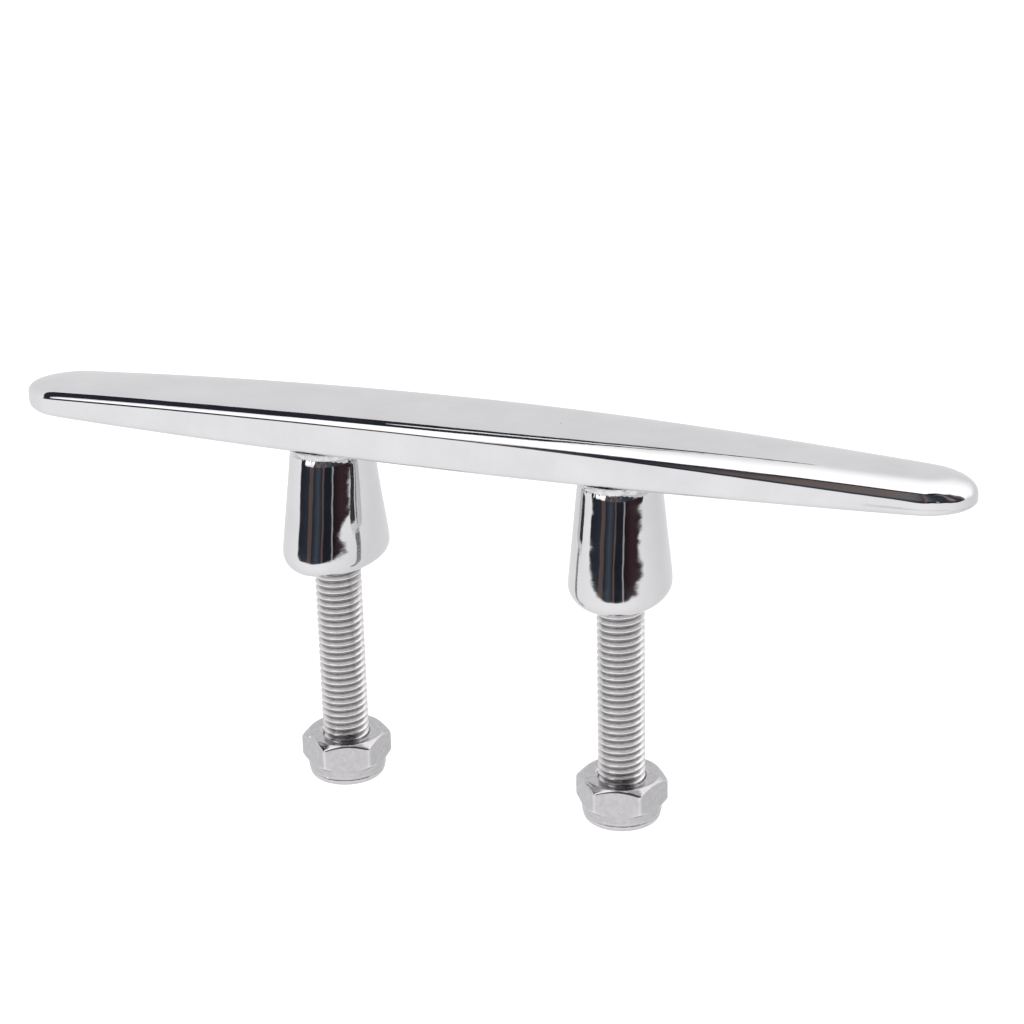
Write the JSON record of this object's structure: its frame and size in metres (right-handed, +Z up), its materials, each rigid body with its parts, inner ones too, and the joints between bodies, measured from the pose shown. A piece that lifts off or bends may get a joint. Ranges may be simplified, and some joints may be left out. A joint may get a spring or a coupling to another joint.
{
  "type": "deck cleat horn",
  "caption": "Flat-top deck cleat: a long bowed horn bar on tapered oval posts, each with a threaded stud and a lock nut for bolting through a deck.",
  "frame": {"origin": "midway between the two studs, on the plane of the posts' flat bases, where the deck's surface is", "axes": "+X along the horn bar to its right tip, +Y across the bar to the back, +Z up out of the deck"},
  "size_m": [0.205, 0.0272, 0.0854],
  "materials": {
    "polished_stainless": "mirror polished",
    "weld_stainless": "polished over a rough weld",
    "stud_stainless": "rolled thread, bright",
    "nut_stainless": "satin, cold formed",
    "nylon": "moulded natural nylon"
  },
  "bodies": {
    "cleat": {"horn_bar": "polished_stainless", "post_left": "polished_stainless", "weld_left": "weld_stainless", "stud_left": "stud_stainless", "post_right": "polished_stainless", "weld_right": "weld_stainless", "stud_right": "stud_stainless"},
    "nut_carrier_left": {"nylon_ring_left": "nylon"},
    "nut_body_left": {"nut_left": "nut_stainless"},
    "nut_carrier_right": {"nylon_ring_right": "nylon"},
    "nut_body_right": {"nut_right": "nut_stainless"}
  },
  "joints": [
    {"name": "nut_climb_left", "type": "slide", "parent": "cleat", "child": "nut_carrier_left", "axis": [0, 0, 1], "range_m": [-0.0121, 0.03835]},
    {"name": "nut_turn_left", "type": "hinge", "parent": "nut_carrier_left", "child": "nut_body_left", "pos_m": [-0.0315, 0, -0.045], "axis": [0, 0, 1], "range_deg": [-2880, 9180]},
    {"name": "nut_climb_right", "type": "slide", "parent": "cleat", "child": "nut_carrier_right", "axis": [0, 0, 1], "range_m": [-0.0121, 0.03835]},
    {"name": "nut_turn_right", "type": "hinge", "parent": "nut_carrier_right", "child": "nut_body_right", "pos_m": [0.0315, 0, -0.045], "axis": [0, 0, 1], "range_deg": [-2880, 9180]}
  ],
  "couplings": [
    {"joint": "nut_climb_left", "follows": "nut_turn_left", "m_per_rad": 0.00023873},
    {"joint": "nut_climb_right", "follows": "nut_turn_right", "m_per_rad": 0.00023873}
  ]
}
